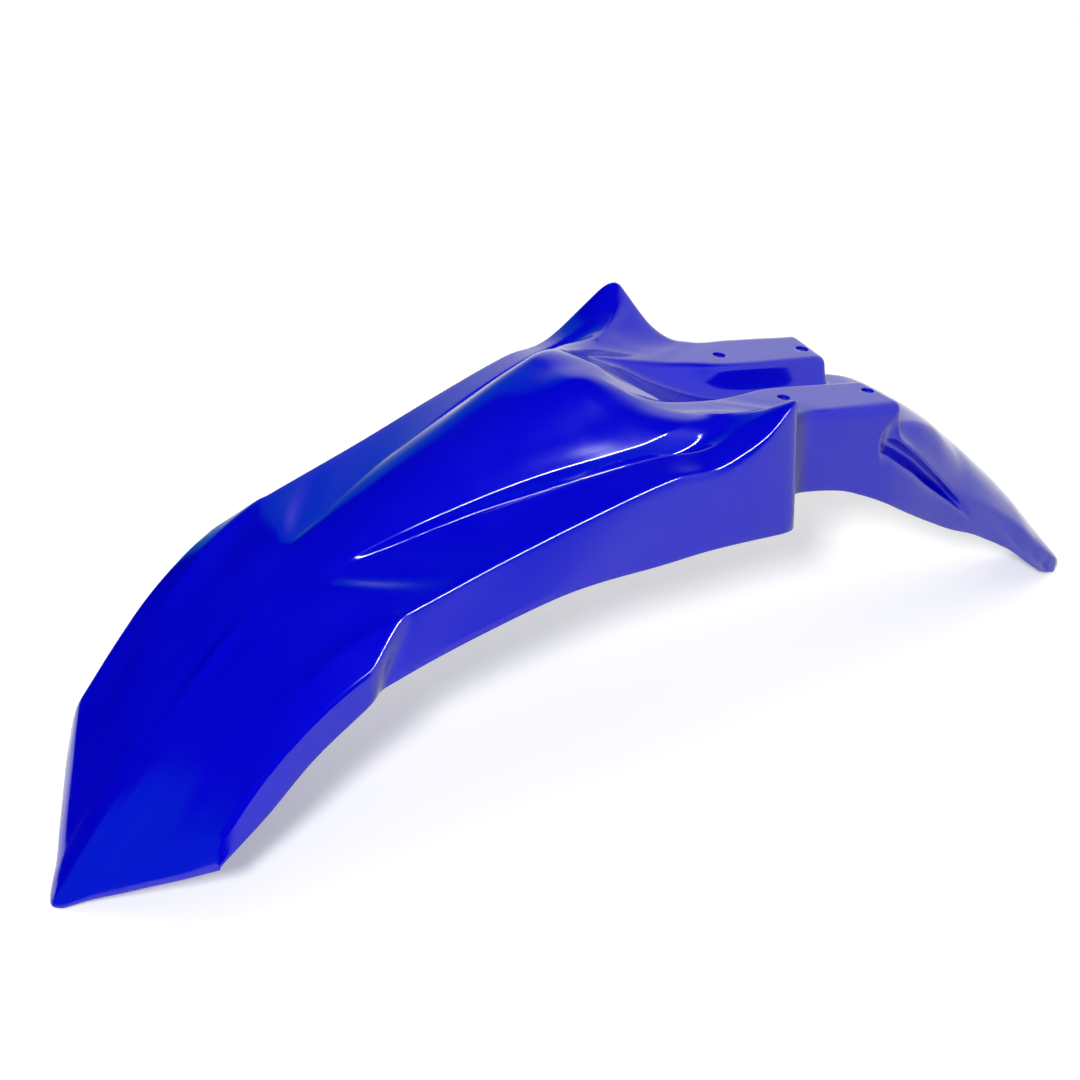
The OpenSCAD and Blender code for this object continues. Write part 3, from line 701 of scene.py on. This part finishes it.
def blue_plastic():
    """Glossy moulded plastic: a deep blue with faint flow marks, orange peel and handling haze."""
    material = bpy.data.materials.new("blue_plastic")
    material.use_nodes = True
    tree = material.node_tree
    link = tree.links.new
    shader = tree.nodes["Principled BSDF"]
    shader.inputs["IOR"].default_value = PLASTIC_IOR
    shader.inputs["Metallic"].default_value = 0.0

    place = node(tree, "ShaderNodeTexCoord")
    # Flow marks: long, faint changes of colour along the moulding
    stretch = node(tree, "ShaderNodeMapping", Scale=FLOW_STRETCH)
    flow = node(tree, "ShaderNodeTexNoise", Scale=1.0, Detail=3.0, Roughness=0.5)
    shade = node(tree, "ShaderNodeMix", data_type="RGBA")
    shade.inputs[6].default_value = BLUE_DEEP
    shade.inputs[7].default_value = BLUE_BRIGHT
    link(place.outputs["Object"], stretch.inputs["Vector"])
    link(stretch.outputs["Vector"], flow.inputs["Vector"])
    link(flow.outputs["Fac"], shade.inputs[0])
    link(shade.outputs[2], shader.inputs["Base Color"])

    # Haze: patches a few centimetres across where the gloss is a little duller
    haze = node(tree, "ShaderNodeTexNoise", Scale=HAZE_SCALE, Detail=4.0, Roughness=0.6)
    gloss = node(tree, "ShaderNodeMapRange")
    gloss.inputs["From Min"].default_value, gloss.inputs["From Max"].default_value = HAZE_RANGE
    gloss.inputs["To Min"].default_value, gloss.inputs["To Max"].default_value = PLASTIC_ROUGHNESS
    link(place.outputs["Object"], haze.inputs["Vector"])
    link(haze.outputs["Fac"], gloss.inputs["Value"])
    link(gloss.outputs["Result"], shader.inputs["Roughness"])

    # Orange peel of the mould, a few millimetres across and hundredths deep
    peel = node(tree, "ShaderNodeTexNoise", Scale=PEEL_SCALE, Detail=2.0, Roughness=0.5)
    bump = node(tree, "ShaderNodeBump", Strength=PEEL_STRENGTH, Distance=PEEL_DEPTH)
    link(place.outputs["Object"], peel.inputs["Vector"])
    link(peel.outputs["Fac"], bump.inputs["Height"])
    link(bump.outputs["Normal"], shader.inputs["Normal"])
    return material


def floor_tilt(points):
    """The slope of the plane that the nose and the tail both rest on."""
    low, high = FLOOR_TILT_SEARCH
    middle_x = (points[:, 0].min() + points[:, 0].max()) / 2
    front, rear = points[points[:, 0] > middle_x], points[points[:, 0] <= middle_x]
    for _ in range(FLOOR_TILT_TRIES):
        tilt = (low + high) / 2
        up = np.array([math.sin(tilt), 0, math.cos(tilt)])
        if (front @ up).min() < (rear @ up).min():
            low = tilt
        else:
            high = tilt
    return tilt, (points @ up).min()


def pale_floor(up, height):
    """A large disc under the nose and the tail.

    The camera and the gloss see it white, and the light it throws back onto the shell is weaker.
    """
    work = bmesh.new()
    bmesh.ops.create_circle(work, cap_ends=True, segments=FLOOR_STEPS, radius=FLOOR_RADIUS)
    mesh = bpy.data.meshes.new("floor")
    work.to_mesh(mesh)
    work.free()
    floor = add_object("floor", mesh)
    turn = Vector((0, 0, 1)).rotation_difference(up).to_matrix().to_4x4()
    floor.matrix_world = Matrix.Translation(up * height) @ turn

    material = bpy.data.materials.new("floor_white")
    material.use_nodes = True
    tree = material.node_tree
    link = tree.links.new
    seen = tree.nodes["Principled BSDF"]
    seen.inputs["Base Color"].default_value = (*FLOOR_COLOUR, 1)
    seen.inputs["Roughness"].default_value = FLOOR_ROUGHNESS
    seen.inputs["Specular IOR Level"].default_value = 0.0
    seen.inputs["Emission Color"].default_value = (1, 1, 1, 1)
    seen.inputs["Emission Strength"].default_value = FLOOR_LIFT
    bounce = node(tree, "ShaderNodeBsdfDiffuse", Color=(*FLOOR_BOUNCE, 1))
    mix = node(tree, "ShaderNodeMixShader")
    path = node(tree, "ShaderNodeLightPath")
    shown = node(tree, "ShaderNodeMath", operation="MAXIMUM")
    link(path.outputs["Is Camera Ray"], shown.inputs[0])
    link(path.outputs["Is Glossy Ray"], shown.inputs[1])
    link(shown.outputs[0], mix.inputs[0])
    link(bounce.outputs[0], mix.inputs[1])
    link(seen.outputs[0], mix.inputs[2])
    link(mix.outputs[0], tree.nodes["Material Output"].inputs["Surface"])
    floor.data.materials.append(material)
    return floor


def studio_world(up, back):
    """What stands round the shell.

    The camera sees plain white. The gloss mirrors a wall behind the tail and a dim room ahead of
    the nose. All other light comes from a soft sky that is brighter overhead.
    """
    world = bpy.data.worlds.new("studio")
    bpy.context.scene.world = world
    world.use_nodes = True
    tree = world.node_tree
    link = tree.links.new
    place = node(tree, "ShaderNodeTexCoord")

    def along(axis, low, high, start=0, end=1, smooth=True):
        share = node(tree, "ShaderNodeVectorMath", operation="DOT_PRODUCT")
        share.inputs[1].default_value = axis
        fade = node(tree, "ShaderNodeMapRange")
        fade.interpolation_type = "SMOOTHSTEP" if smooth else "LINEAR"
        fade.inputs["From Min"].default_value = low
        fade.inputs["From Max"].default_value = high
        fade.inputs["To Min"].default_value = start
        fade.inputs["To Max"].default_value = end
        link(place.outputs["Generated"], share.inputs[0])
        link(share.outputs["Value"], fade.inputs["Value"])
        return fade.outputs["Result"]

    def times(a, b):
        product = node(tree, "ShaderNodeMath", operation="MULTIPLY")
        link(a, product.inputs[0])
        link(b, product.inputs[1])
        return product.outputs[0]

    def below(top):
        """1 below the first elevation and 0 above the second."""
        low, high = (math.sin(math.radians(e)) for e in top)
        return along(up, high, low)

    wall = node(tree, "ShaderNodeValToRGB")
    stops = wall.color_ramp.elements
    while len(stops) < len(WALL_STOPS):
        stops.new(1.0)
    for stop, (position, colour) in zip(stops, WALL_STOPS):
        stop.position = position
        stop.color = (*colour, 1)
    link(along(back, *WALL_SIDE, smooth=False), wall.inputs["Fac"])
    room = times(below(ROOM_TOP), along(level(up, ROOM_AZIMUTH), *ROOM_SIDE))
    white = node(tree, "ShaderNodeBackground", Color=(1, 1, 1, 1), Strength=1.0)
    dim = node(tree, "ShaderNodeBackground", Color=ROOM_COLOUR, Strength=1.0)
    bright = node(tree, "ShaderNodeBackground")
    link(wall.outputs["Color"], bright.inputs["Color"])
    link(below(WALL_TOP), bright.inputs["Strength"])
    sky = node(tree, "ShaderNodeBackground", Color=(1, 1, 1, 1))
    link(along(up, 0, 1, SKY[0], SKY[1], smooth=False), sky.inputs["Strength"])
    path = node(tree, "ShaderNodeLightPath")
    tree.nodes.remove(tree.nodes["Background"])

    def mix(share, a, b):
        made = node(tree, "ShaderNodeMixShader")
        link(share, made.inputs[0])
        link(a.outputs[0], made.inputs[1])
        link(b.outputs[0], made.inputs[2])
        return made

    mirrored = mix(room, bright, dim)
    seen = mix(path.outputs["Is Glossy Ray"], sky, mirrored)
    seen = mix(path.outputs["Is Camera Ray"], seen, white)
    link(seen.outputs[0], tree.nodes["World Output"].inputs["Surface"])


def level(up, azimuth):
    """A level direction: 0 degrees is forward, 90 is the shell's left."""
    forward = Vector((up.z, 0, -up.x))
    turn = math.radians(azimuth)
    return forward * math.cos(turn) + Vector((0, 1, 0)) * math.sin(turn)


def softbox(name, place, size, power, aim, along, diffuse, gloss):
    """A rectangular lamp whose long side runs along a direction."""
    light = bpy.data.lights.new(name, "AREA")
    light.shape = "RECTANGLE"
    light.size, light.size_y = size
    light.energy = power
    lamp = bpy.data.objects.new(name, light)
    lamp.visible_diffuse, lamp.visible_glossy = diffuse, gloss
    bpy.context.scene.collection.objects.link(lamp)
    back = (Vector(place) - Vector(aim)).normalized()
    side = Vector(along) - back * back.dot(Vector(along))
    side.normalize()
    top = back.cross(side)
    turn = Matrix((side, top, back)).transposed().to_4x4()
    lamp.matrix_world = Matrix.Translation(Vector(place)) @ turn
    return lamp


def photo_camera(up):
    """The photograph's view: a long lens from the front left, held level with the floor."""
    data = bpy.data.cameras.new("photo_camera")
    data.lens = CAMERA_LENS
    data.sensor_width = CAMERA_SENSOR
    data.clip_end = CAMERA_FAR
    camera = bpy.data.objects.new("photo_camera", data)
    bpy.context.scene.collection.objects.link(camera)
    back = (Vector(CAMERA_PLACE) - Vector(CAMERA_AIM)).normalized()
    right = up.cross(back).normalized()
    top = back.cross(right)
    turn = Matrix((right, top, back)).transposed().to_4x4()
    camera.matrix_world = Matrix.Translation(Vector(CAMERA_PLACE)) @ turn
    bpy.context.scene.camera = camera


piece = add_object("mudguard_shell", shell_mesh())
cut_holes(piece)
piece.data.shade_smooth()
piece.data.set_sharp_from_angle(angle=SHARP_FROM)
piece.data.materials.clear()
piece.data.materials.append(blue_plastic())
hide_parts("mudguard")
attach(piece, "root")

corners = np.array([v.co[:] for v in piece.data.vertices])
tilt, height = floor_tilt(corners)
floor_up = Vector((math.sin(tilt), 0, math.cos(tilt)))
pale_floor(floor_up, height)
studio_world(floor_up, level(floor_up, WALL_AZIMUTH))
photo_camera(Vector((math.sin(CAMERA_SLOPE), 0, math.cos(CAMERA_SLOPE))))

for name, azimuth, elevation, distance, size, power, side, diffuse, gloss in LAMPS:
    rise = math.radians(elevation)
    toward = level(floor_up, azimuth) * math.cos(rise) + floor_up * math.sin(rise)
    along = level(floor_up, side)
    softbox(name, CENTRE + toward * distance, size, power, CENTRE, along, diffuse, gloss)

bpy.context.scene.view_settings.view_transform = "Standard"
